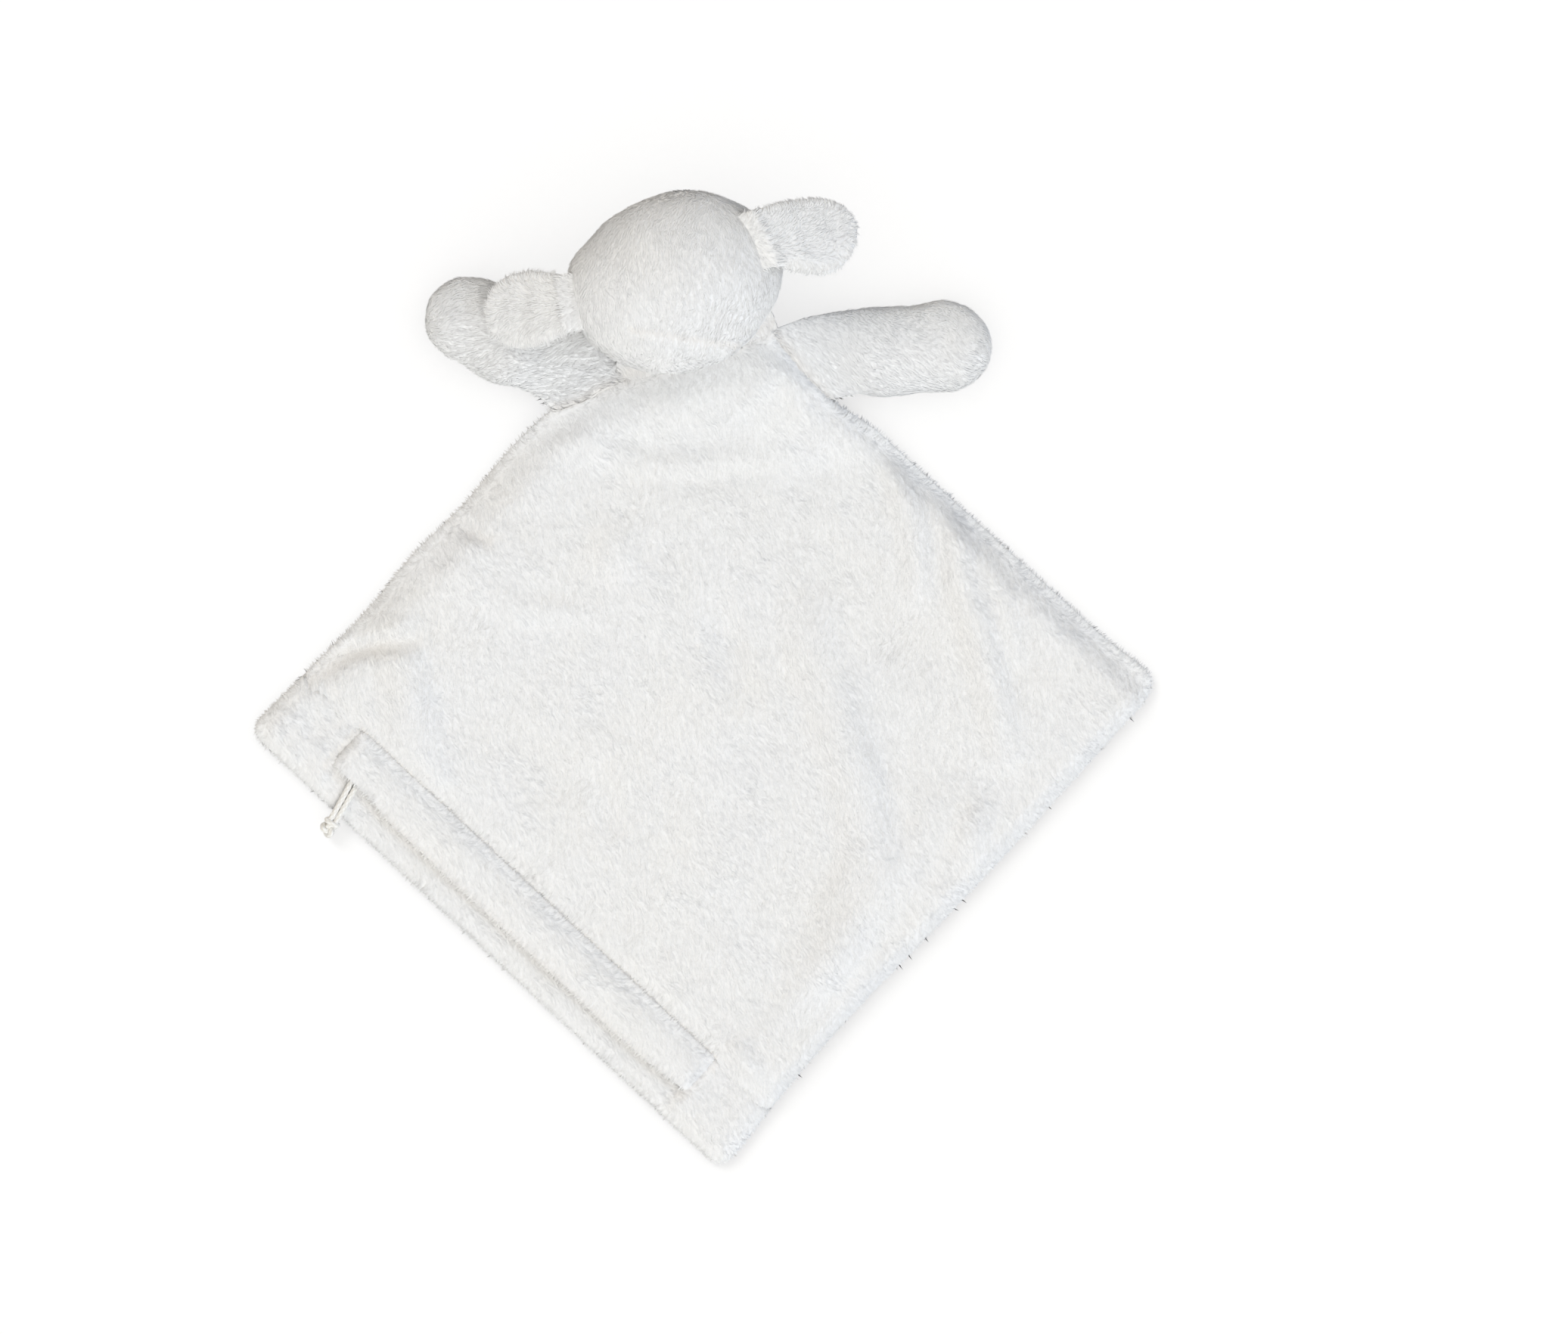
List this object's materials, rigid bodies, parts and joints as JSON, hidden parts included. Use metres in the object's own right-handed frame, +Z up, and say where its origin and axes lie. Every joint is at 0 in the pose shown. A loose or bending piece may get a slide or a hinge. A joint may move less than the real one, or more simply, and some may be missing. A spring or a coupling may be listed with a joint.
{
  "type": "plush comforter blanket",
  "caption": "Square plush comforter lying face down, with a stuffed animal head with floppy ears, stuffed arms, a flap over a zip along one side and a knotted cord as the zip's pull.",
  "frame": {"origin": "centre of the blanket's flat underside, on the surface that the lovey lies on face down", "axes": "+Z up out of the blanket's back, +Y from the blanket's middle towards the head, +X to the right seen from above"},
  "size_m": [0.4503, 0.4957, 0.086],
  "materials": {
    "plush": "short off-white plush pile",
    "plush_front": "short off-white plush pile, front side",
    "filling": "polyester filling",
    "tape": "woven zip tape",
    "teeth": "moulded off-white teeth",
    "zip_metal": "nickel-plated zip parts",
    "cord": "braided cotton cord",
    "thread": "dark embroidered nose and eyes"
  },
  "bodies": {
    "blanket": {"front_panel": "plush_front", "back_panel": "plush", "hem_panel": "plush", "zip_flap": "plush", "zip_tape_inner": "tape", "zip_tape_outer": "tape", "zip_teeth_inner": "teeth", "zip_teeth_outer": "teeth", "zip_top_stop_inner": "zip_metal", "zip_top_stop_outer": "zip_metal", "zip_bottom_stop": "zip_metal", "neck_gather": "plush"},
    "head": {"head_back_cover": "plush", "head_face_cover": "plush_front", "head_filling": "filling", "muzzle": "plush", "nose": "thread", "left_eye": "thread", "right_eye": "thread"},
    "left_ear": {"left_ear_back": "plush", "left_ear_lining": "plush_front"},
    "right_ear": {"right_ear_back": "plush", "right_ear_lining": "plush_front"},
    "left_arm": {"left_arm_back_cover": "plush", "left_arm_front_cover": "plush_front", "left_arm_filling": "filling"},
    "right_arm": {"right_arm_back_cover": "plush", "right_arm_front_cover": "plush_front", "right_arm_filling": "filling"},
    "zip_slider": {"zip_slider": "zip_metal"},
    "zip_pull": {"zip_pull_cord": "cord", "zip_pull_knot": "cord"}
  },
  "joints": [
    {"name": "head_nod", "type": "hinge", "parent": "blanket", "child": "head", "pos_m": [0.0036, 0.1824, 0.0248], "axis": [0.9568, 0.2907, 0], "range_deg": [0, 55]},
    {"name": "left_ear_flop", "type": "hinge", "parent": "head", "child": "left_ear", "pos_m": [-0.05939, 0.21002, 0.06525], "axis": [-0.0952, 0.995, -0.0292], "range_deg": [0, 100]},
    {"name": "right_ear_flop", "type": "hinge", "parent": "head", "child": "right_ear", "pos_m": [0.0336, 0.23904, 0.07588], "axis": [0.3924, -0.9144, 0.0996], "range_deg": [-8, 100], "stiffness_Nm_per_rad": 0.002, "springref_deg": 9.85},
    {"name": "left_arm_swing", "type": "hinge", "parent": "blanket", "child": "left_arm", "pos_m": [-0.05347, 0.16819, 0.01198], "axis": [0.9406, 0.3129, 0.132], "range_deg": [-80, 0]},
    {"name": "right_arm_swing", "type": "hinge", "parent": "blanket", "child": "right_arm", "pos_m": [0.05847, 0.17751, 0.01892], "axis": [-0.5952, 0.7701, 0.2293], "range_deg": [-80, 80]},
    {"name": "zip_slide", "type": "slide", "parent": "blanket", "child": "zip_slider", "axis": [0.7071, -0.7071, 0], "range_m": [0, 0.212], "deforming": ["zip_teeth_inner", "zip_teeth_outer"]},
    {"name": "pull_swing", "type": "hinge", "parent": "zip_slider", "child": "zip_pull", "pos_m": [-0.1743, -0.02086, 0], "axis": [0, 0, 1], "range_deg": [-28, 15]}
  ]
}
